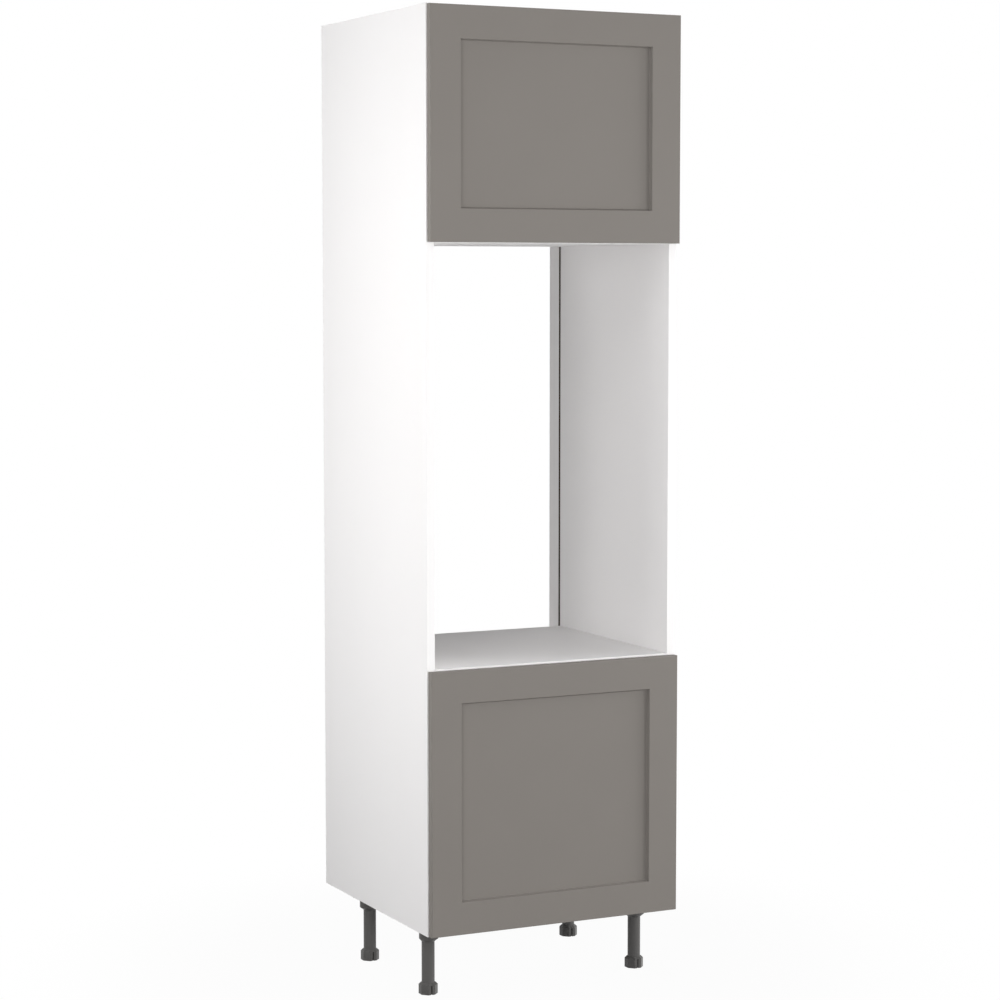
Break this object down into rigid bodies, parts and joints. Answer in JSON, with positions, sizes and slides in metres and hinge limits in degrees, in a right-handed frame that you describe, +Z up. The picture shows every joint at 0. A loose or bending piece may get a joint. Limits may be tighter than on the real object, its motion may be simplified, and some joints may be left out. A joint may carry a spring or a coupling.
{
  "type": "tall oven housing cabinet",
  "caption": "Tall kitchen cabinet with an open niche for a built-in oven, a framed door above and below it, and adjustable legs.",
  "frame": {"origin": "on the floor, at the centre of the outline with both doors shut", "axes": "+Z up, +X to the right seen from the front, +Y from the doors towards the wall"},
  "size_m": [0.6, 0.5896, 2.12],
  "materials": {
    "white_board": "white melamine facing with a fine matt grain on 18 mm chipboard",
    "white_back_board": "white melamine facing on thin board",
    "grey_door": "smooth matt warm grey wrap on fibreboard",
    "beech": "plain beech",
    "zinc_cam": null,
    "nickel_steel": "nickel-plated pressed steel",
    "zinc_steel": "bright zinc-plated steel",
    "black_plastic": "moulded black polypropylene",
    "clear_buffer": "soft translucent dot"
  },
  "bodies": {
    "carcass": {"back_panel_screws": "zinc_steel", "bottom_panel": "white_board", "cam_bolts": "zinc_steel", "cam_discs": "zinc_cam", "front_left_leg_socket": "black_plastic", "front_left_leg_tube": "black_plastic", "front_right_leg_socket": "black_plastic", "front_right_leg_tube": "black_plastic", "hinge_arm_screws": "nickel_steel", "hinge_plate_screws": "nickel_steel", "lower_back_panel": "white_back_board", "lower_bottom_hinge_arm": "nickel_steel", "lower_bottom_hinge_plate": "nickel_steel", "lower_shelf": "white_board", "lower_shelf_pegs": "nickel_steel", "lower_top_hinge_arm": "nickel_steel", "lower_top_hinge_plate": "nickel_steel", "oven_shelf": "white_board", "panel_dowels": "beech", "rear_left_leg_socket": "black_plastic", "rear_left_leg_tube": "black_plastic", "rear_right_leg_socket": "black_plastic", "rear_right_leg_tube": "black_plastic", "side_panel_left": "white_board", "side_panel_right": "white_board", "socket_screws": "zinc_steel", "top_panel": "white_board", "upper_back_panel": "white_back_board", "upper_bottom_hinge_arm": "nickel_steel", "upper_bottom_hinge_plate": "nickel_steel", "upper_box_floor": "white_board", "upper_shelf": "white_board", "upper_shelf_pegs": "nickel_steel", "upper_top_hinge_arm": "nickel_steel", "upper_top_hinge_plate": "nickel_steel"},
    "upper_hinge_links": {"upper_bottom_hinge_link": "nickel_steel", "upper_hinge_pins": "nickel_steel", "upper_top_hinge_link": "nickel_steel"},
    "upper_door_leaf": {"upper_bottom_hinge_cup": "nickel_steel", "upper_cup_screws": "zinc_steel", "upper_door": "grey_door", "upper_door_buffers": "clear_buffer", "upper_top_hinge_cup": "nickel_steel"},
    "lower_hinge_links": {"lower_bottom_hinge_link": "nickel_steel", "lower_hinge_pins": "nickel_steel", "lower_top_hinge_link": "nickel_steel"},
    "lower_door_leaf": {"lower_bottom_hinge_cup": "nickel_steel", "lower_cup_screws": "zinc_steel", "lower_door": "grey_door", "lower_door_buffers": "clear_buffer", "lower_top_hinge_cup": "nickel_steel"},
    "front_left_foot_screw": {"front_left_leg_foot": "black_plastic"},
    "front_right_foot_screw": {"front_right_leg_foot": "black_plastic"},
    "rear_left_foot_screw": {"rear_left_leg_foot": "black_plastic"},
    "rear_right_foot_screw": {"rear_right_leg_foot": "black_plastic"}
  },
  "joints": [
    {"name": "upper_door_swing", "type": "hinge", "parent": "upper_hinge_links", "child": "upper_door_leaf", "pos_m": [0.289, -0.28225, 1.87225], "axis": [0, 0, 1], "range_deg": [0, 130]},
    {"name": "upper_link_swing", "type": "hinge", "parent": "carcass", "child": "upper_hinge_links", "pos_m": [0.272, -0.26825, 1.87225], "axis": [0, 0, 1], "range_deg": [-30, 0]},
    {"name": "lower_door_swing", "type": "hinge", "parent": "lower_hinge_links", "child": "lower_door_leaf", "pos_m": [0.289, -0.28225, 0.4365], "axis": [0, 0, 1], "range_deg": [0, 130]},
    {"name": "lower_link_swing", "type": "hinge", "parent": "carcass", "child": "lower_hinge_links", "pos_m": [0.272, -0.26825, 0.4365], "axis": [0, 0, 1], "range_deg": [-30, 0]},
    {"name": "front_left_foot_height", "type": "slide", "parent": "carcass", "child": "front_left_foot_screw", "axis": [0, 0, -1], "range_m": [-0.01, 0.02]},
    {"name": "front_right_foot_height", "type": "slide", "parent": "carcass", "child": "front_right_foot_screw", "axis": [0, 0, -1], "range_m": [-0.01, 0.02]},
    {"name": "rear_left_foot_height", "type": "slide", "parent": "carcass", "child": "rear_left_foot_screw", "axis": [0, 0, -1], "range_m": [-0.01, 0.02]},
    {"name": "rear_right_foot_height", "type": "slide", "parent": "carcass", "child": "rear_right_foot_screw", "axis": [0, 0, -1], "range_m": [-0.01, 0.02]}
  ],
  "couplings": [
    {"joint": "upper_link_swing", "follows": "upper_door_swing", "ratio": -0.23077},
    {"joint": "lower_link_swing", "follows": "lower_door_swing", "ratio": -0.23077}
  ]
}
